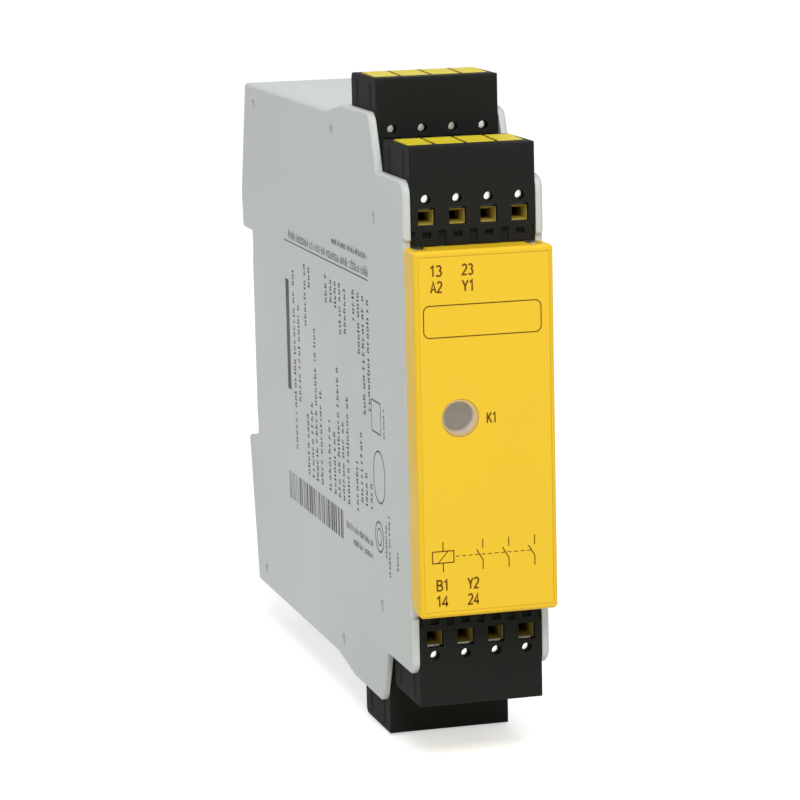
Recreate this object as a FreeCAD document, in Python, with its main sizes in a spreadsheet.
import FreeCAD, Part
import os
import re
import Sketcher

# Safety relay module for a 35 mm mounting rail, in millimetres.
# X runs across the module, Y from the front (negative) to the rail, Z up.
# The origin is on the rail seat, at the middle of the rail.

doc = FreeCAD.newDocument("SafetyRelay")

# ---------------------------------------------------------------- driving sizes
SIZES = [
    # housing
    ("moduleWidth", 22.5, "width of the module on the rail"),
    ("wall", 1.2, "thickness of both side walls"),
    ("shell", 1.5, "thickness of the walls round the core"),
    ("wallFront", 102.3, "rail seat to the front edge of the side walls"),
    ("panelFront", 101.9, "rail seat to the front panel behind the cover"),
    ("stepDepth", 87.0, "rail seat to the inner corner of the step"),
    ("stepRise", 10.15, "height of the walls over the floor of the front bays"),
    ("earRise", 9.95, "height of the ears over the floor of the rear bays"),
    ("earLean", 3.8, "forward lean of the ears' front edges"),
    ("rearDrop", 1.7, "rear part below the ears"),
    ("rampStart", 56.0, "rail seat to the foot of the ramp"),
    ("rampEnd", 66.5, "rail seat to the top of the ramp"),
    ("backTop", 2.2, "how far the back corners stand behind the rail seat"),
    ("backDepth", 6.9, "depth of the rail recess"),
    ("bulgeDepth", 7.4, "depth of the back above the rail"),
    ("bulgeHeight", 26.0, "height of the deepest point of the back"),
    ("recessTop", 19.3, "top edge of the rail recess"),
    ("recessBottom", 18.0, "bottom edge of the rail recess"),
    ("ledgeDrop", 1.4, "fall of the recess's lower ledge to the back"),
    ("seatHalf", 15.3, "half height of the seat between the rail hooks"),
    ("seatStep", 0.3, "setback of the recess's floor behind the hooks"),
    ("cornerRadius", 2.4, "rounding of the walls' front corners"),
    ("edgeBreak", 0.4, "chamfer of the side faces' outer edges"),
    ("latchBlock", 3.6, "depth of the solid block that guides the latch"),
    ("dimpleRadius", 1.0, "dimples in the left side face"),
    ("dimpleDepth", 0.3, "depth of the dimples"),
    ("pegSize", 1.6, "side of the square locating pegs"),
    ("pegLength", 3.0, "length of the locating pegs"),
    ("bossSize", 4.2, "side of the square bosses that take the pegs"),
    ("bossGap", 0.3, "clearance round the bosses in the main board"),
    # rail
    ("railHeight", 35.0, "height of the mounting rail"),
    ("railFlange", 1.0, "thickness of the rail's flanges"),
    ("hookReach", 1.9, "how far the hooks reach behind the rail"),
    ("hookThickness", 2.2, "thickness of the upper hook"),
    ("hookWidth", 17.0, "width of the upper hook"),
    # plug-in terminal blocks
    ("poles", 4, "poles of each plug"),
    ("polePitch", 5.0, "distance between poles"),
    ("plugWidth", 20.0, "width of a plug"),
    ("plugHeight", 15.2, "height of a plug"),
    ("hoodDepth", 14.9, "depth of the part in front of the header"),
    ("plugFront", 102.35, "rail seat to the face of the front plugs"),
    ("plugPitchY", 18.54, "front plug to rear plug, in depth"),
    ("plugPitchZ", 9.1, "front plug to rear plug, in height"),
    ("plugGap", 0.1, "clearance between a plug and its bay floor"),
    ("bayGap", 0.2, "clearance behind a plug's hood"),
    ("noseWidth", 17.2, "width of a plug's nose"),
    ("noseDepth", 5.6, "length of a plug's nose"),
    ("noseBottom", 0.9, "nose above the plug's inner edge"),
    ("noseTop", 6.3, "top of the nose above the plug's inner edge"),
    ("entrySize", 2.75, "square wire entries"),
    ("entryHeight", 4.4, "wire entries above the plug's inner edge"),
    ("testHeight", 7.05, "test holes above the plug's inner edge"),
    ("testRadius", 0.8, "radius of the test holes"),
    ("funnelSet", 0.8, "plug face to a funnel's mouth"),
    ("funnelThroat", 1.4, "width of a funnel's throat"),
    ("funnelSlope", 1.5, "depth of a funnel's sloping part"),
    ("funnelFlare", 0.4, "widening of a funnel's mouth at each side"),
    ("chamberWidth", 3.0, "width of a clamp chamber"),
    ("chamberFront", 4.6, "plug face to the clamp chamber"),
    ("chamberBack", 13.6, "plug face to the end of the clamp chamber"),
    ("chamberBottom", 0.8, "bottom of the clamp chamber"),
    ("chamberTop", 10.6, "top of the clamp chamber"),
    ("pusherWidth", 4.45, "width of a pusher"),
    ("pusherTrim", 0.4, "how much narrower the outer pushers are"),
    ("pusherFront", 3.3, "plug face to a pusher"),
    ("pusherDepth", 7.7, "length of a pusher's pad"),
    ("pusherPad", 1.3, "thickness of a pusher's pad inside the plug"),
    ("pusherRise", 0.25, "height of a pusher over the plug at its back"),
    ("pusherTravel", 1.2, "travel of a pusher"),
    ("pusherGap", 0.1, "clearance round a pusher"),
    ("stemWidth", 1.5, "width of a pusher's stem"),
    ("stemFront", 7.8, "plug face to a pusher's stem"),
    ("stemDepth", 1.6, "depth of a pusher's stem"),
    ("stemEnd", 6.2, "end of the stem above the plug's inner edge"),
    ("ribWidth", 1.2, "grip ribs on the plug's sides"),
    ("ribProud", 0.15, "height of the grip ribs"),
    ("ribBottom", 10.2, "bottom end of the grip ribs"),
    ("baseGap", 0.05, "clearance of the plug's base in its shell"),
    ("barHeight", 5.5, "contact bars above the plug's inner edge"),
    ("barThickness", 0.4, "thickness of the contact bars"),
    ("barWidth", 2.0, "width of the contact bars"),
    ("testDepth", 1.2, "plug face to the test contact"),
    ("springThickness", 0.35, "thickness of the clamp springs"),
    # pin headers
    ("headerWall", 0.6, "wall of a pin header"),
    ("headerDepth", 7.5, "depth of a pin header"),
    ("noseGap", 0.15, "clearance between nose and header"),
    ("pinSize", 0.7, "side of a square header pin"),
    ("pinHeight", 2.6, "header pins above the plug's inner edge"),
    ("pinLead", 5.0, "length of a pin in front of the header's back"),
    ("pinStagger", 1.5, "distance between the bent tails of the pins"),
    # front cover
    ("coverWidth", 22.4, "width of the front cover"),
    ("coverHeight", 57.1, "height of the front cover"),
    ("coverFront", 107.4, "rail seat to the front of the cover"),
    ("coverWall", 1.5, "thickness of the cover"),
    ("coverGap", 0.1, "clearance between cover and plug bays"),
    ("coverRadius", 0.8, "rounding of the cover's upright edges"),
    ("coverCut", 3.4, "rounding of the cover's lower rear corners"),
    ("labelMarginX", 0.75, "cover edge to the label, sideways"),
    ("labelMarginZ", 0.9, "cover edge to the label, up and down"),
    ("labelThickness", 0.2, "thickness of the label"),
    ("labelSink", 0.05, "label below the cover's face"),
    ("lensX", -4.2, "status window off the middle, sideways"),
    ("lensZ", 2.6, "status window above the middle"),
    ("lensRadius", 2.9, "radius of the status window"),
    ("guideRadius", 2.0, "radius of the light guide"),
    ("hookTab", 6.0, "width of the cover's snap hooks"),
    ("hookTabPlace", 21.0, "snap hooks above and below the middle"),
    ("hookTabLength", 4.2, "length of the snap hooks"),
    # boards and parts
    ("boardThickness", 1.6, "thickness of the main board"),
    ("boardGap", 0.45, "side cover to the main board"),
    ("frontBoardPlace", 96.8, "rail seat to the front of the front board"),
    ("frontBoardThickness", 1.0, "thickness of the front board"),
    ("relayLength", 39.0, "length of a relay"),
    ("relayWidth", 12.6, "width of a relay"),
    ("relayHeight", 15.6, "height of a relay"),
    ("relaySpacing", 15.4, "distance between the relays"),
    ("relayBack", 13.0, "rail seat to the relays"),
    ("capacitorRadius", 4.0, "radius of the capacitors"),
    ("capacitorHeight", 11.5, "height of the capacitors"),
    # rail latch
    ("latchWidth", 12.0, "width of the latch"),
    ("latchFlange", 1.2, "guide flanges at the latch's sides"),
    ("latchPlate", 1.6, "thickness of the latch's guide plate"),
    ("latchGap", 0.15, "clearance round the latch"),
    ("latchTravel", 3.0, "travel of the latch"),
    ("latchTail", 1.6, "latch below the housing"),
    ("springRadius", 1.25, "coil radius of the latch spring"),
    ("springWire", 0.25, "wire radius of the latch spring"),
    ("springPitch", 2.0, "pitch of the latch spring"),
]

sheet = doc.addObject("Spreadsheet::Sheet", "Sizes")
for row, (alias, number, note) in enumerate(SIZES, start=1):
    sheet.set(f"A{row}", note)
    sheet.set(f"B{row}", str(number))
    sheet.setAlias(f"B{row}", alias)
doc.recompute()

# ---------------------------------------------------------------- worked-out places
PLACES = [
    ("halfWidth", "moduleWidth / 2"),
    ("innerHalf", "halfWidth - wall"),
    ("plugBottom", "coverHeight / 2 + coverGap + plugGap"),
    ("frontFloor", "plugBottom - plugGap"),
    ("rearFloor", "frontFloor + plugPitchZ"),
    ("stepHeight", "frontFloor + stepRise"),
    ("earHeight", "rearFloor + earRise"),
    ("rearHeight", "earHeight - rearDrop"),
    ("frontBay", "plugFront - hoodDepth - bayGap"),
    ("rearBay", "frontBay - plugPitchY"),
    ("headerBottom", "noseBottom - noseGap - headerWall"),
    ("headerTop", "noseTop + noseGap + headerWall"),
    ("headerHalf", "noseWidth / 2 + noseGap + headerWall"),
    ("openingGap", "0.05"),
    ("padBottom", "plugHeight - pusherPad"),
    ("wellBottom", "padBottom - pusherTravel - pusherGap"),
    ("funnelMiddle", "entryHeight - 0.14"),
    ("boardLeft", "boardGap - innerHalf"),
    ("boardRight", "boardLeft + boardThickness"),
    ("boardTop", "plugBottom + plugPitchZ + pinHeight + 1.5"),
    ("firstPole", "-polePitch * (poles - 1) / 2"),
    ("latchBack", "-0.3"),
    ("latchShoulder", "recessBottom + 3.6"),
    ("springRoom", "springRadius + springWire + 0.35"),
    ("springTop", "-(latchShoulder + 5.5)"),
    ("springHeight", "springPitch * 4.5"),
    ("springFoot", "springTop - springHeight"),
    ("springAxis", "latchBack - latchPlate + springRoom - 0.2"),
]

places = doc.addObject("App::VarSet", "Places")
SHEETS = {alias: "Sizes." for alias, _, _ in SIZES}
SHEETS.update({name: "Places." for name, _ in PLACES})


def bind(formula):
    """Turns a formula in plain names into an expression on the sheet and the places."""
    return re.sub(r"[A-Za-z]\w*", lambda word: SHEETS.get(word.group(), "") + word.group(), formula)


for name, formula in PLACES:
    places.addProperty("App::PropertyFloat", name, "Places")
    places.setExpression(name, bind(formula))
doc.recompute()


def value(formula):
    return float(places.evalExpression(bind(formula)))


def at(x, y, z):
    return FreeCAD.Vector(value(x), value(y), value(z))


# ---------------------------------------------------------------- building helpers
# An extrusion names the plane of its sketch and the two levels that it runs between.
# The XZ plane faces -Y, so its sketches lie at the far level and run towards -Y.
PLANES = {"YZ": "YZ_Plane", "XY": "XY_Plane", "XZ": "XZ_Plane"}


def originPart(body, role):
    return next(part for part in body.Origin.OriginFeatures if part.Role == role)


def newBody(name, place=None, turned=False):
    """A body whose frame lies at a place, turned upside down about Y for the lower plugs."""
    body = doc.addObject("PartDesign::Body", name)
    body.Label = name
    body.AllowCompound = True
    if turned:
        body.Placement = FreeCAD.Placement(
            FreeCAD.Vector(), FreeCAD.Rotation(FreeCAD.Vector(0, 1, 0), 180))
    if place:
        for axis, formula in zip("xyz", place):
            body.setExpression(f"Placement.Base.{axis}", bind(formula))
    return body


def newSketch(body, plane, low, high):
    sketch = body.newObject("Sketcher::SketchObject", "Sketch")
    sketch.AttachmentSupport = [(originPart(body, PLANES[plane]), "")]
    sketch.MapMode = "FlatFace"
    level = f"-({high})" if plane == "XZ" else low
    sketch.setExpression("AttachmentOffset.Base.z", bind(level))
    return sketch


def tiePoint(sketch, geometry, position, u, v):
    for kind, formula in (("DistanceX", u), ("DistanceY", v)):
        index = sketch.addConstraint(
            Sketcher.Constraint(kind, -1, 1, geometry, position, value(formula)))
        sketch.setExpression(f"Constraints[{index}]", bind(formula))


def drawOutline(sketch, corners):
    """A closed outline of straight edges, each corner tied to its own two formulas."""
    first = sketch.GeometryCount
    points = [FreeCAD.Vector(value(u), value(v), 0) for u, v in corners]
    count = len(points)
    sketch.addGeometry(
        [Part.LineSegment(points[i], points[(i + 1) % count]) for i in range(count)], False)
    sketch.addConstraint(
        [Sketcher.Constraint("Coincident", first + i, 2, first + (i + 1) % count, 1)
         for i in range(count)])
    for i, (u, v) in enumerate(corners):
        tiePoint(sketch, first + i, 1, u, v)


def drawCircle(sketch, u, v, radius):
    centre = FreeCAD.Vector(value(u), value(v), 0)
    index = sketch.addGeometry(Part.Circle(centre, FreeCAD.Vector(0, 0, 1), value(radius)), False)
    tiePoint(sketch, index, 3, u, v)
    size = sketch.addConstraint(Sketcher.Constraint("Radius", index, value(radius)))
    sketch.setExpression(f"Constraints[{size}]", bind(radius))


def extrude(body, kind, plane, low, high, outlines=(), circles=()):
    """A Pad or Pocket between two levels, of outlines and circles."""
    sketch = newSketch(body, plane, low, high)
    for corners in outlines:
        drawOutline(sketch, corners)
    for u, v, radius in circles:
        drawCircle(sketch, u, v, radius)
    feature = body.newObject(f"PartDesign::{kind}", kind)
    feature.Profile = sketch
    feature.setExpression("Length", bind(f"({high}) - ({low})"))
    feature.Reversed = kind == "Pocket"
    return feature


def pad(body, plane, low, high, outlines=(), circles=()):
    return extrude(body, "Pad", plane, low, high, outlines, circles)


def pocket(body, plane, low, high, outlines=(), circles=()):
    return extrude(body, "Pocket", plane, low, high, outlines, circles)


def rectangle(u0, u1, v0, v1):
    return [(u0, v0), (u1, v0), (u1, v1), (u0, v1)]


def square(u, v, side):
    half = f"({side}) / 2"
    return rectangle(f"{u} - {half}", f"{u} + {half}", f"{v} - {half}", f"{v} + {half}")


def mirrored(corners):
    """The same corners below the middle, in the order that continues the outline."""
    return [(u, f"-({v})") for u, v in reversed(corners)]


def edgesThrough(shape, spots):
    """Names of the edges that pass through any of the given spots."""
    vertices = [Part.Vertex(spot) for spot in spots]
    return [f"Edge{number}" for number, edge in enumerate(shape.Edges, start=1)
            if any(edge.distToShape(vertex)[0] < 0.001 for vertex in vertices)]


def roundEdges(body, radius, spots, kind="Fillet"):
    doc.recompute()
    base = body.Tip
    feature = body.newObject(f"PartDesign::{kind}", kind)
    feature.Base = (base, edgesThrough(base.Shape, spots))
    feature.setExpression("Radius" if kind == "Fillet" else "Size", bind(radius))
    return feature


def repeatAlongX(body, features, pitch="polePitch", count="poles"):
    doc.recompute()
    pattern = body.newObject("PartDesign::LinearPattern", "LinearPattern")
    pattern.Originals = features
    pattern.Direction = (originPart(body, "X_Axis"), [""])
    pattern.setExpression("Length", bind(f"{pitch} * ({count} - 1)"))
    pattern.setExpression("Occurrences", bind(count))
    body.Tip = pattern
    return pattern


def revolve(body, corners):
    """A turned piece about its own Y axis, from a half section in the XY plane."""
    sketch = newSketch(body, "XY", "0", "0")
    drawOutline(sketch, corners)
    feature = body.newObject("PartDesign::Revolution", "Revolution")
    feature.Profile = sketch
    feature.ReferenceAxis = (originPart(body, "Y_Axis"), [""])
    feature.Angle = 360
    return feature


# ---------------------------------------------------------------- housing
def upperWallOutline():
    """Side wall above the rail, from the rail seat round to the front."""
    return [
        ("0", "seatHalf"),
        ("-seatStep", "seatHalf"),
        ("-seatStep", "recessTop"),
        ("backDepth", "recessTop"),
        ("bulgeDepth", "bulgeHeight"),
        ("backTop", "rearHeight"),
        ("-rampStart", "rearHeight"),
        ("-rampEnd", "earHeight"),
        ("earLean - stepDepth", "earHeight"),
        ("-stepDepth", "stepHeight"),
        ("-wallFront", "stepHeight"),
        ("-wallFront", "frontFloor + 1"),
        ("-panelFront", "frontFloor + 1"),
    ]


FOOT = [
    ("backDepth", "-(recessBottom + ledgeDrop)"),
    ("-seatStep", "-recessBottom"),
    ("-seatStep", "-seatHalf"),
    ("0", "-seatHalf"),
]


def wallOutline():
    upper = upperWallOutline()
    return upper + mirrored(upper[5:]) + FOOT


def wallCorners(x):
    """Spots on the corners of a side wall that are rounded."""
    middle = f"{x}"
    return [at(middle, y, f"{side} * {z}")
            for side in ("1", "-1")
            for y, z in (("-wallFront", "stepHeight"), ("earLean - stepDepth", "earHeight"))]


def breakRim(body, face):
    """Chamfers the rim of a side wall's outer face, all the way round."""
    doc.recompute()
    base = body.Tip
    level = value(face)
    rim = [f"Edge{number}" for number, edge in enumerate(base.Shape.Edges, start=1)
           if all(abs(vertex.X - level) < 0.001 for vertex in edge.Vertexes)]
    chamfer = body.newObject("PartDesign::Chamfer", "Chamfer")
    chamfer.Base = (base, rim)
    chamfer.setExpression("Size", bind("edgeBreak"))


def coreOutline():
    """Outline of the core with its four plug bays, between the side walls."""
    upper = upperWallOutline()[:8] + [
        ("-rearBay", "earHeight"),
        ("-rearBay", "rearFloor"),
        ("-frontBay", "rearFloor"),
        ("-frontBay", "frontFloor"),
        ("1 - panelFront", "frontFloor"),
        ("-panelFront", "frontFloor - 0.8"),
    ]
    return upper + mirrored(upper[5:]) + FOOT


def cavityOutline():
    """The hollow inside the core, one shell thickness in."""
    upper = [
        ("-shell", "recessTop + shell"),
        ("backDepth - shell", "recessTop + shell"),
        ("bulgeDepth - shell", "bulgeHeight"),
        ("backTop - shell", "rearHeight - shell"),
        ("-rampStart", "rearHeight - shell"),
        ("-rearBay + shell", "earHeight - shell"),
        ("-rearBay + shell", "rearFloor - shell"),
        ("-frontBay + shell", "rearFloor - shell"),
        ("-frontBay + shell", "frontFloor - shell"),
        ("-panelFront + shell", "frontFloor - shell"),
    ]
    foot = [
        ("-latchBlock", "-(rearHeight - shell)"),
        ("-latchBlock", "-(recessBottom - shell)"),
        ("-shell", "-(recessBottom - shell)"),
    ]
    return upper + mirrored(upper[4:]) + foot


BOSSES = [(y, f"{side} * (rearHeight - {drop})") for side in ("1", "-1")
          for y, drop in (("-4.2", "3"), ("-58.9", "2.7"))]
DIMPLES = [(y, f"{side} * ({z})") for side in ("1", "-1")
           for y, z in (("-4.2", "rearHeight - 3.4"), ("-59.7", "rearHeight - 3.2"), ("-85.0", "frontFloor + 2.65"))]


def buildHousing():
    body = newBody("housing_body")
    pad(body, "YZ", "innerHalf", "halfWidth", [wallOutline()])
    roundEdges(body, "cornerRadius", wallCorners("halfWidth - wall / 2"))
    breakRim(body, "halfWidth")
    pad(body, "YZ", "-innerHalf", "innerHalf", [coreOutline()])
    pocket(body, "YZ", "-innerHalf", "innerHalf", [cavityOutline()])
    pad(body, "YZ", "-innerHalf", "4 - innerHalf", [square(y, z, "bossSize") for y, z in BOSSES])
    # openings of the four plug bays, where the pin headers look out
    opening = "headerHalf + openingGap"
    for side in ("1", "-1"):
        for bay, floor in (("frontBay", "frontFloor"), ("rearBay", "rearFloor")):
            top = f"{side} * ({floor} + plugGap + headerTop + openingGap)"
            pocket(body, "XZ", f"-{bay} - 0.01", f"-{bay} + shell + 0.01",
                   [rectangle(f"-({opening})", opening, f"{side} * {floor}", top)])
    # front panel: hole of the light guide and slots of the cover's snap hooks
    pocket(body, "XZ", "-panelFront - 0.01", "-panelFront + shell + 0.01",
           [rectangle("-(hookTab / 2 + 0.2)", "hookTab / 2 + 0.2",
                      f"{side} * hookTabPlace - 0.9", f"{side} * hookTabPlace + 0.9")
            for side in ("1", "-1")],
           [("lensX", "lensZ", "guideRadius + 0.3")])
    pocket(body, "YZ", "-innerHalf", "pegLength + 0.3 - innerHalf",
           [square(y, z, "pegSize + 0.1") for y, z in BOSSES])
    # upper hook behind the rail's top flange
    pad(body, "YZ", "-hookWidth / 2", "hookWidth / 2", [[
        ("railFlange + 0.3", "recessTop"),
        ("railFlange + 0.3", "railHeight / 2 - hookReach + 0.5"),
        ("railFlange + 0.9", "railHeight / 2 - hookReach"),
        ("railFlange + hookThickness", "railHeight / 2 - hookReach"),
        ("railFlange + hookThickness + 1.6", "recessTop"),
    ]])
    cutLatchChannel(body)
    return body


def cutLatchChannel(body):
    """T-shaped channel behind the lower wall, open to the back and the bottom."""
    narrow = "(latchWidth / 2 + latchGap)"
    wide = "(latchWidth / 2 + latchFlange + latchGap)"
    pocket(body, "XY", "-rearHeight - 1", "-recessBottom + 1",
           [rectangle(f"-{narrow}", narrow, "latchBack - latchPlate - latchGap", "bulgeDepth + 1")])
    pocket(body, "XY", "-rearHeight - 1", "-latchShoulder + latchGap",
           [rectangle(f"-{wide}", wide, "latchBack - latchPlate - latchGap", "latchBack + latchGap")])
    # snap tab that stands in the latch's window and carries the spring
    root = "latchBack - latchPlate - latchGap - 0.5"
    pad(body, "YZ", "-springRadius", "springRadius", [[
        (root, "springFoot - 3"),
        (root, "springFoot"),
        ("springAxis + springRadius", "springFoot"),
        ("springAxis + springRadius", "springFoot - 0.6"),
    ]])


def buildSideCover():
    body = newBody("side_cover")
    pad(body, "YZ", "-halfWidth", "-innerHalf", [wallOutline()])
    roundEdges(body, "cornerRadius", wallCorners("wall / 2 - halfWidth"))
    breakRim(body, "-halfWidth")
    pad(body, "YZ", "-innerHalf", "pegLength - innerHalf", [square(y, z, "pegSize") for y, z in BOSSES])
    pocket(body, "YZ", "-halfWidth", "dimpleDepth - halfWidth",
           circles=[(y, z, "dimpleRadius") for y, z in DIMPLES])
    return body


# ---------------------------------------------------------------- front cover and window
def buildFrontCover():
    body = newBody("front_cover")
    half = "coverWidth / 2"
    top = "coverHeight / 2"
    back = "-panelFront - 0.05"
    pad(body, "XZ", "-coverFront", back, [rectangle(f"-{half}", half, f"-{top}", top)])
    # lower rear corners are rounded away for a screwdriver
    roundEdges(body, "coverCut", [at("0", back, f"-{top}")])
    roundEdges(body, "coverRadius", [at(f"-{half}", "-coverFront", "0"), at(half, "-coverFront", "0")])
    roundEdges(body, "coverRadius / 2", [at("0", "-coverFront", top), at("0", "-coverFront", f"-{top}")],
               "Chamfer")
    pocket(body, "XZ", "-coverFront + coverWall", back,
           [rectangle(f"coverWall - {half}", f"{half} - coverWall", f"coverWall - {top}", f"{top} - coverWall")])
    pocket(body, "XZ", "-coverFront", "-coverFront + labelThickness + labelSink", [labelOutline("0")])
    pocket(body, "XZ", "-coverFront", "-coverFront + coverWall + 0.1", circles=[("lensX", "lensZ", "lensRadius + 0.05")])
    # shallow notches at the ends of the top edge
    for side in ("1", "-1"):
        pocket(body, "XZ", f"{back} - 3.4", back,
               [rectangle(f"{side} * 8", f"{side} * 10.1", f"{top} - 0.4", f"{top} + 0.1")])
        # snap hooks that reach through the front panel
        place = f"{side} * hookTabPlace"
        catch = "(shell - panelFront + 0.05)"
        pad(body, "YZ", "-hookTab / 2", "hookTab / 2", [[
            ("-coverFront + coverWall", f"{place} - {side} * 0.6"),
            ("-coverFront + coverWall", f"{place} + {side} * 0.6"),
            (catch, f"{place} + {side} * 0.6"),
            (catch, f"{place} + {side} * 1.3"),
            (f"{catch} + 0.4", f"{place} + {side} * 1.3"),
            ("hookTabLength - panelFront", f"{place} + {side} * 0.5"),
            ("hookTabLength - panelFront", f"{place} - {side} * 0.6"),
        ]])
    return body


def labelOutline(gap):
    x = f"(coverWidth / 2 - labelMarginX - {gap})"
    z = f"(coverHeight / 2 - labelMarginZ - {gap})"
    return rectangle(f"-{x}", x, f"-{z}", z)


def buildFrontLabel():
    body = newBody("front_label")
    face = "-coverFront + labelSink"
    pad(body, "XZ", face, f"{face} + labelThickness", [labelOutline("0.03")],
        [("lensX", "lensZ", "lensRadius + 0.05")])
    return body


def buildWindow():
    """Status window, light guide and lamp, turned about one line."""
    place = ("lensX", "0", "lensZ")
    lens = newBody("status_lens", place)
    seat = "(-coverFront + coverWall)"
    flange = "(lensRadius + 0.8)"
    revolve(lens, [
        ("0", "-coverFront - 0.25"),
        ("lensRadius - 0.6", "-coverFront - 0.1"),
        ("lensRadius", "-coverFront + 0.1"),
        ("lensRadius", f"{seat} + 0.4"),
        ("0", f"{seat} + 0.4"),
    ])
    pad(lens, "XZ", seat, f"{seat} + 0.8", [rectangle(f"-{flange}", flange, f"-{flange}", flange)])
    guide = newBody("light_guide", place)
    start = f"({seat} + 0.85)"
    end = "(-frontBoardPlace - 2.1)"
    flange = "(guideRadius + 0.8)"
    seat = "(-panelFront + shell + 0.1)"
    pad(guide, "XZ", start, end, circles=[("0", "0", "guideRadius")])
    pad(guide, "XZ", seat, f"{seat} + 0.8", [rectangle(f"-{flange}", flange, f"-{flange}", flange)])
    lamp = newBody("status_led", place)
    pad(lamp, "XZ", "-frontBoardPlace - 1.4", "-frontBoardPlace", [rectangle("-1.75", "1.75", "-1.4", "1.4")])
    pad(lamp, "XZ", "-frontBoardPlace - 1.9", "-frontBoardPlace - 1.3", [rectangle("-1.1", "1.1", "-1.1", "1.1")])
    return [lens, guide, lamp]


# ---------------------------------------------------------------- boards and parts
def buildBoards():
    main = newBody("main_board")
    clear = "(headerDepth + 1.2)"
    upper = [
        ("-2.4", "boardTop"),
        (f"-rearBay + {clear}", "boardTop"),
        (f"-rearBay + {clear}", "rearFloor - shell - 0.8"),
        (f"-frontBay + {clear}", "rearFloor - shell - 0.8"),
        (f"-frontBay + {clear}", "frontFloor - shell - 0.8"),
        ("-frontBoardPlace + frontBoardThickness + 0.6", "frontFloor - shell - 0.8"),
    ]
    foot = [("-latchBlock - 0.6", "-boardTop"), ("-latchBlock - 0.6", "-(recessBottom - shell - 1)"),
            ("-2.4", "-(recessBottom - shell - 1)")]
    pad(main, "YZ", "boardLeft", "boardRight", [upper + mirrored(upper[1:]) + foot])
    pocket(main, "YZ", "boardLeft", "boardRight", [square(y, z, "bossSize + 2 * bossGap") for y, z in BOSSES])

    front = newBody("front_board")
    pad(front, "XZ", "-frontBoardPlace", "-frontBoardPlace + frontBoardThickness",
        [rectangle("boardLeft", "-boardLeft", "-18", "18")])

    link = newBody("board_link")
    pad(link, "XZ", "-frontBoardPlace + frontBoardThickness", "-frontBoardPlace + frontBoardThickness + 2.5",
        [rectangle("boardRight", "boardRight + 2.5", "-10", "10")])
    return [main, front, link]


def buildRelay(name, side):
    body = newBody(name)
    low = f"({side} * relaySpacing / 2 - relayWidth / 2)"
    high = f"({side} * relaySpacing / 2 + relayWidth / 2)"
    back = "-relayBack"
    front = "(-relayBack - relayLength)"
    pad(body, "YZ", "boardRight", "boardRight + relayHeight", [rectangle(front, back, low, high)])
    top = "boardRight + relayHeight"
    roundEdges(body, "0.6", [at(top, front, f"({low} + {high}) / 2"), at(top, back, f"({low} + {high}) / 2"),
                             at(top, f"({front} + {back}) / 2", low), at(top, f"({front} + {back}) / 2", high)],
               "Chamfer")
    # joint between the base and the cap
    pocket(body, "YZ", "boardRight + 2.2", "boardRight + 2.6",
           [rectangle(f"{front} - 0.1", f"{back} + 0.1", f"{low} - 0.1", f"{low} + 0.25"),
            rectangle(f"{front} - 0.1", f"{back} + 0.1", f"{high} - 0.25", f"{high} + 0.1")])
    return body


def buildBoardParts():
    capacitors = newBody("supply_capacitors")
    pad(capacitors, "YZ", "boardRight", "boardRight + capacitorHeight",
        circles=[("-20", "30", "capacitorRadius"), ("-31", "30", "capacitorRadius")])
    chips = newBody("control_chips")
    pad(chips, "YZ", "boardRight", "boardRight + 2.3",
        [rectangle(f"{y} - 5", f"{y} + 5", "-29.5", "-22") for y in ("-22", "-38", "-62")])
    return [capacitors, chips]


# ---------------------------------------------------------------- plugs and headers
# Every plug has its own frame: origin at its front face, its middle and its inner edge.
# The lower plugs are the upper ones turned about Y.
SLOTS = [
    ("upper_front", "-plugFront", "plugBottom", False),
    ("upper_rear", "-plugFront + plugPitchY", "plugBottom + plugPitchZ", False),
    ("lower_front", "-plugFront", "-plugBottom", True),
    ("lower_rear", "-plugFront + plugPitchY", "-(plugBottom + plugPitchZ)", True),
]


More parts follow.
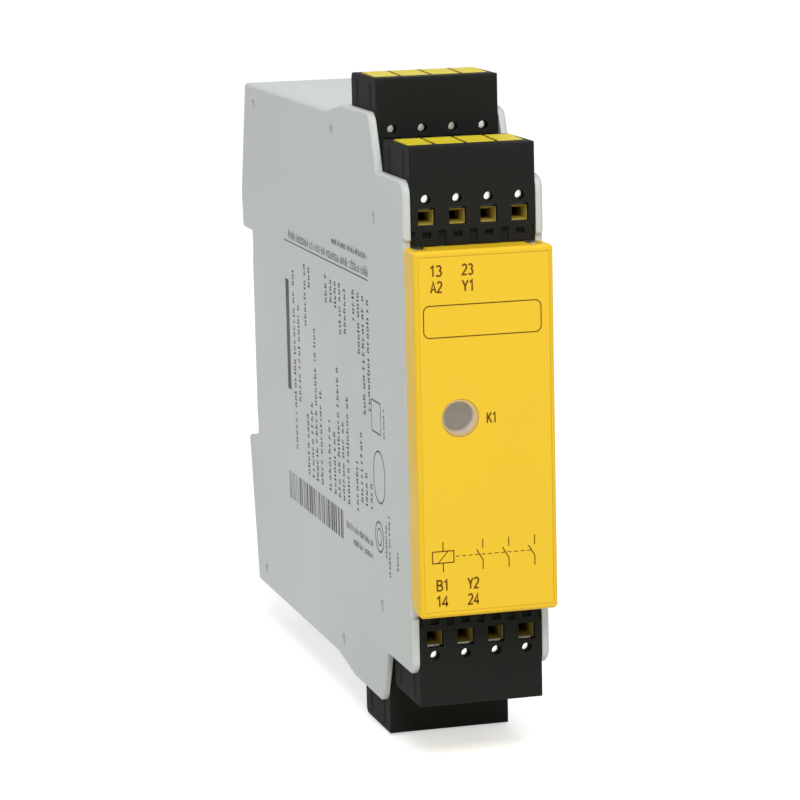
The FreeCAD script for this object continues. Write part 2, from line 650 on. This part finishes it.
def buildPlugShell(name, place, turned):
    """The plug's outer moulding, with the wiring face, the pusher wells and the open clamp chambers."""
    body = newBody(name, place, turned)
    half = "plugWidth / 2"
    pad(body, "YZ", f"-{half}", half, [rectangle("0", "hoodDepth", "0", "plugHeight")])
    roundEdges(body, "1", [at("0", "hoodDepth", "plugHeight")])
    roundEdges(body, "0.3", [at(f"-{half}", "0", "plugHeight - 1"), at(half, "0", "plugHeight - 1"),
                             at("0", "0", "plugHeight")], "Chamfer")
    # low grip ribs above the housing's ears
    pad(body, "XY", "ribBottom", "plugHeight - 0.8",
        [[(f"{side} * ({half} - 0.2)", f"{y} - ribWidth / 2"),
          (f"{side} * {half}", f"{y} - ribWidth / 2"),
          (f"{side} * ({half} + ribProud)", y),
          (f"{side} * {half}", f"{y} + ribWidth / 2"),
          (f"{side} * ({half} - 0.2)", f"{y} + ribWidth / 2")]
         for side in ("1", "-1") for y in ("3.8", "11.6")])
    # opening at the back that the base closes
    pocket(body, "XZ", "chamberBack", "hoodDepth + 0.1",
           [rectangle("-noseWidth / 2 - 0.6", "noseWidth / 2 + 0.6", "chamberBottom", "chamberTop")])
    # wells of the pushers, narrower at both ends of the row
    wide = "(pusherWidth / 2 + pusherGap)"
    last = int(value("poles")) - 1
    pocket(body, "XY", "wellBottom", "plugHeight + 0.1",
           [rectangle(f"firstPole + {pole} * polePitch - {wide}" + " + pusherTrim" * (pole == 0),
                      f"firstPole + {pole} * polePitch + {wide}" + " - pusherTrim" * (pole == last),
                      "pusherFront - pusherGap", "pusherFront + pusherDepth + pusherGap")
            for pole in range(last + 1)])
    # one pole, repeated along X
    pole = "firstPole"
    stem = "(stemWidth / 2 + pusherGap)"
    bar = "(barWidth / 2 + 0.05)"
    features = [
        pocket(body, "XY", "chamberTop - 0.5", "wellBottom + 0.1",
               [rectangle(f"{pole} - {stem}", f"{pole} + {stem}",
                          "stemFront - pusherGap", "stemFront + stemDepth + pusherGap")]),
        pocket(body, "YZ", f"{pole} - chamberWidth / 2", f"{pole} + chamberWidth / 2",
               [rectangle("chamberFront", "chamberBack + 0.1", "chamberBottom", "chamberTop")]),
        pocket(body, "XZ", "-0.1", "chamberFront + 0.1", [square(pole, "entryHeight", "entrySize")]),
        # room for the contact bar and its upright end, entered from the chamber
        pocket(body, "XZ", "testDepth - 0.05", "chamberFront + 0.1",
               [rectangle(f"{pole} - {bar}", f"{pole} + {bar}", "barHeight - 0.1", "testHeight + 1.05")]),
        pocket(body, "XZ", "-0.1", "testDepth", circles=[(pole, "testHeight", "testRadius")]),
        pocket(body, "XZ", "-0.1", "0.6", [rectangle(f"{pole} - 0.72", f"{pole} + 0.72", "1.05", "2.05")]),
        pocket(body, "XZ", "-0.1", "0.5",
               [rectangle(f"{pole} + {side} * polePitch / 2 - 0.65", f"{pole} + {side} * polePitch / 2 + 0.65",
                          "-0.1", "2.3") for side in ("1", "-1")]),
    ]
    repeatAlongX(body, features)
    return body


def buildPlugBase(name, place, turned):
    """The plug's rear moulding, which closes the chambers and carries the nose."""
    body = newBody(name, place, turned)
    side = "(noseWidth / 2 + 0.6 - baseGap)"
    pad(body, "XZ", "chamberBack + baseGap", "hoodDepth",
        [rectangle(f"-{side}", side, "chamberBottom + baseGap", "chamberTop - baseGap")])
    pad(body, "XZ", "hoodDepth", "hoodDepth + noseDepth",
        [rectangle("-noseWidth / 2", "noseWidth / 2", "noseBottom", "noseTop")])
    roundEdges(body, "0.5", [at("0", "hoodDepth + noseDepth", "noseTop"),
                             at("0", "hoodDepth + noseDepth", "noseBottom")], "Chamfer")
    tunnel = pocket(body, "XZ", "chamberBack - 0.1", "hoodDepth + noseDepth + 0.1",
                    [rectangle("firstPole - 1.3", "firstPole + 1.3", "pinHeight - 0.65", "pinHeight + 0.95")])
    repeatAlongX(body, [tunnel])
    return body


def buildFunnels(name, place, turned):
    """Square wire funnels that narrow towards the clamp."""
    body = newBody(name, place, turned)
    outer = pad(body, "XZ", "funnelSet", "chamberFront",
                [rectangle("firstPole - entrySize / 2 + 0.05", "firstPole + entrySize / 2 - 0.05",
                           "entryHeight - entrySize / 2 + 0.05", "barHeight - 0.05")])
    half = "funnelThroat / 2"
    throat = pocket(body, "XZ", "funnelSet - 0.1", "chamberFront + 0.1",
                    [rectangle(f"firstPole - {half} - 0.125", f"firstPole + {half} + 0.125",
                               f"funnelMiddle - {half}", f"funnelMiddle + {half}")])
    repeatAlongX(body, [outer, throat])
    # slopes from the throat to the mouth
    spots = [at(f"firstPole + {pole} * polePitch + {dx} * ({half} + 0.125)", "funnelSet",
                f"funnelMiddle + {dz} * {half}")
             for pole in range(int(value("poles")))
             for dx, dz in (("1", "0"), ("-1", "0"), ("0", "1"), ("0", "-1"))]
    slope = roundEdges(body, "funnelSlope", spots, "Chamfer")
    slope.ChamferType = "Two distances"
    slope.FlipDirection = True
    slope.setExpression("Size2", bind("funnelFlare"))
    return body


def buildContactBars(name, place, turned):
    """Bars from the test contact down to the header pin, with a window for the pusher's stem."""
    body = newBody(name, place, turned)
    low = "barHeight"
    high = "(barHeight + barThickness)"
    foot = "(pinHeight + pinSize / 2 + 0.05)"
    bend = "(chamberBack - 0.5)"
    bar = pad(body, "YZ", "firstPole - barWidth / 2", "firstPole + barWidth / 2", [[
        ("testDepth", low),
        (f"{bend} - barThickness", low),
        (f"{bend} - barThickness", foot),
        ("hoodDepth + noseDepth - 0.6", foot),
        ("hoodDepth + noseDepth - 0.6", f"{foot} + barThickness"),
        (bend, f"{foot} + barThickness"),
        (bend, high),
        ("testDepth + barThickness", high),
        ("testDepth + barThickness", "testHeight + 1"),
        ("testDepth", "testHeight + 1"),
    ]])
    window = pocket(body, "XY", "barHeight - 0.1", "barHeight + barThickness + 0.1",
                    [rectangle("firstPole - stemWidth / 2 - 0.1", "firstPole + stemWidth / 2 + 0.1",
                               "stemFront - 0.2", "stemFront + stemDepth + 0.2")])
    repeatAlongX(body, [bar, window])
    return body


def buildClampSprings(name, place, turned):
    """Leg springs: a foot along the chamber's floor and a tongue up to the contact bar."""
    body = newBody(name, place, turned)
    leg = pad(body, "YZ", "firstPole - 0.95", "firstPole + 0.95", [[
        ("chamberBack - 1.2", "chamberBottom + 0.05"),
        ("chamberFront + 0.6", "chamberBottom + 0.05"),
        ("chamberFront + 0.1", "chamberBottom + 0.55"),
        ("chamberFront + 0.1", "chamberBottom + 0.85"),
        ("chamberFront + 0.5", "chamberBottom + 1.1"),
        ("stemFront + stemDepth + 1.1", "barHeight - 0.1"),
        ("stemFront + stemDepth + 1.35", "barHeight - 0.35"),
        ("chamberFront + 0.75", "chamberBottom + 0.8"),
        ("chamberFront + 0.5", "chamberBottom + 0.65"),
        ("chamberFront + 0.75", "chamberBottom + 0.05 + springThickness"),
        ("chamberBack - 1.2", "chamberBottom + 0.05 + springThickness"),
    ]])
    repeatAlongX(body, [leg])
    return body


def buildPusher(name, place, turned, trimLeft, trimRight):
    """One pusher in its plug's frame, its pole on X = 0."""
    body = newBody(name, place, turned)
    back = "pusherFront + pusherDepth"
    crease = "pusherFront + pusherDepth * 0.62"
    left = "-pusherWidth / 2" + " + pusherTrim" * trimLeft
    right = "pusherWidth / 2" + " - pusherTrim" * trimRight
    pad(body, "YZ", left, right, [[
        ("pusherFront", "padBottom"),
        (back, "padBottom"),
        (back, "plugHeight + pusherRise - 0.15"),
        (f"{back} - 0.2", "plugHeight + pusherRise"),
        (f"{crease} + 0.25", "plugHeight + pusherRise * 0.75"),
        (crease, "plugHeight + pusherRise * 0.4"),
        (f"{crease} - 0.25", "plugHeight + pusherRise * 0.55"),
        ("pusherFront + 0.3", "plugHeight + 0.02"),
        ("pusherFront", "plugHeight - 0.2"),
    ]])
    pad(body, "YZ", "-stemWidth / 2", "stemWidth / 2",
        [rectangle("stemFront", "stemFront + stemDepth", "stemEnd", "padBottom + 0.1")])
    return body


def buildHeader(name, place, turned):
    """Shroud in the bay's opening that takes the plug's nose."""
    body = newBody(name, place, turned)
    front = "hoodDepth + bayGap"
    back = f"{front} + headerDepth"
    pad(body, "XZ", front, back, [rectangle("-headerHalf", "headerHalf", "headerBottom", "headerTop")])
    inner = "(headerHalf - headerWall)"
    pocket(body, "XZ", f"{front} - 0.1", f"{back} - 1.6",
           [rectangle(f"-{inner}", inner, "headerBottom + headerWall", "headerTop - headerWall")])
    hole = pocket(body, "XZ", f"{back} - 1.7", f"{back} + 0.1", [square("firstPole", "pinHeight", "pinSize")])
    repeatAlongX(body, [hole])
    return body


def buildHeaderPins(name, place, turned):
    """Square pins bent across to the main board, one behind the other."""
    body = newBody(name, place, turned)
    back = "hoodDepth + bayGap + headerDepth"
    half = "pinSize / 2"
    board = "-boardRight" if turned else "boardRight"
    for pole in range(int(value("poles"))):
        x = f"(firstPole + {pole} * polePitch)"
        rank = f"(poles - 1 - {pole})" if turned else f"{pole}"
        turn = f"({back} + 2 + {rank} * pinStagger)"
        near, far = ("-", "+") if not turned else ("+", "-")
        pad(body, "XY", f"pinHeight - {half}", f"pinHeight + {half}", [[
            (f"{x} {near} {half}", f"{back} - 1.6 - pinLead"),
            (f"{x} {far} {half}", f"{back} - 1.6 - pinLead"),
            (f"{x} {far} {half}", f"{turn} + {half}"),
            (board, f"{turn} + {half}"),
            (board, f"{turn} - {half}"),
            (f"{x} {near} {half}", f"{turn} - {half}"),
        ]])
    return body


def buildTerminals():
    """The four plugs with what they hold, and the headers that they sit on."""
    parts = []
    for slot, y, z, turned in SLOTS:
        place = ("0", y, z)
        parts.append(buildPlugShell(f"plug_{slot}", place, turned))
        parts.append(buildPlugBase(f"plug_base_{slot}", place, turned))
        parts.append(buildFunnels(f"wire_funnels_{slot}", place, turned))
        parts.append(buildContactBars(f"contact_bars_{slot}", place, turned))
        parts.append(buildClampSprings(f"clamp_springs_{slot}", place, turned))
        parts.append(buildHeader(f"pin_header_{slot}", place, turned))
        parts.append(buildHeaderPins(f"header_pins_{slot}", place, turned))
        last = int(value("poles")) - 1
        for pole in range(last + 1):
            x = f"firstPole + {pole} * polePitch"
            outer = (pole == 0, pole == last)
            trimLeft, trimRight = reversed(outer) if turned else outer
            parts.append(buildPusher(f"pusher_{slot}_{pole + 1}", (x, y, z), turned, trimLeft, trimRight))
    return parts


# ---------------------------------------------------------------- rail latch
def buildLatch():
    body = newBody("rail_latch")
    plateFront = "latchBack - latchPlate"
    tail = "-(rearHeight + latchTail)"
    nose = "-(railHeight / 2 - hookReach)"
    skin = "0.5"
    # guide plate with flanges, then the narrow body that follows the housing's back
    flange = "(latchWidth / 2 + latchFlange)"
    pad(body, "XZ", plateFront, "latchBack", [rectangle(f"-{flange}", flange, tail, "-latchShoulder")])
    pad(body, "YZ", "-latchWidth / 2", "latchWidth / 2", [[
        (plateFront, tail),
        (f"backTop - {skin}", tail),
        (f"backDepth - {skin}", "-(recessBottom + ledgeDrop + 1)"),
        (f"backDepth - {skin}", "-(recessBottom - 0.6)"),
        ("railFlange + 1.1", nose),
        ("railFlange + 0.3", f"{nose} - 0.5"),
        ("railFlange + 0.3", "-(recessBottom + 0.2)"),
        ("-0.2", "-(recessBottom + 0.2)"),
        ("-0.2", "-latchShoulder + 0.4"),
        (plateFront, "-latchShoulder"),
    ]])
    # window of the spring, and the slot for a screwdriver in the tail
    pocket(body, "XZ", f"{plateFront} - 0.1", "springAxis + springRoom",
           [rectangle("-springRoom", "springRoom", "springFoot - latchTravel - 0.2 - latchGap", "springTop + 0.02")])
    pocket(body, "XZ", "-0.9", "bulgeDepth",
           [rectangle("-3", "3", f"{tail} + 1.4", f"{tail} + 2.9")])
    return body


def buildLatchSpring():
    """Coil spring between the housing and the latch."""
    coil = doc.addObject("Part::Helix", "SpringPath")
    coil.setExpression("Pitch", bind("springPitch"))
    coil.setExpression("Height", bind("springHeight - 2 * springWire"))
    coil.setExpression("Radius", bind("springRadius"))
    ring = doc.addObject("Part::RegularPolygon", "SpringSection")
    ring.Polygon = 4
    ring.setExpression("Circumradius", bind("springWire"))
    ring.Placement = FreeCAD.Placement(FreeCAD.Vector(), FreeCAD.Rotation(FreeCAD.Vector(1, 0, 0), 90))
    ring.setExpression("Placement.Base.x", bind("springRadius"))
    spring = doc.addObject("Part::Sweep", "latch_spring")
    spring.Label = "latch_spring"
    spring.Sections = [ring]
    spring.Spine = (coil, ["Edge1"])
    spring.Solid = True
    spring.Frenet = True
    spring.setExpression("Placement.Base.y", bind("springAxis"))
    spring.setExpression("Placement.Base.z", bind("springFoot + springWire"))
    return spring


# ---------------------------------------------------------------- build, check, export
parts = [buildHousing(), buildSideCover(), buildFrontCover(), buildFrontLabel()]
parts += buildWindow()
parts += buildBoards()
parts += [buildRelay("relay_k1", "1"), buildRelay("relay_k2", "-1")]
parts += buildBoardParts()
parts += buildTerminals()
parts += [buildLatch(), buildLatchSpring()]
doc.recompute()

faults = [f"{item.Label}: {item.State}" for item in doc.Objects
          if "Invalid" in item.State or "Error" in item.State]
for item in parts:
    if item.Shape.isNull() or not item.Shape.isValid() or not item.Shape.Solids:
        faults.append(f"{item.Label}: bad shape")
if faults:
    raise RuntimeError("\n".join(faults))

os.makedirs("parts", exist_ok=True)
for item in parts:
    item.Shape.exportStep(f"parts/{item.Label}.step")
    print(f"{item.Label:32s} solids {len(item.Shape.Solids):2d}  volume {item.Shape.Volume:9.1f}")
print(len(parts), "nodes")
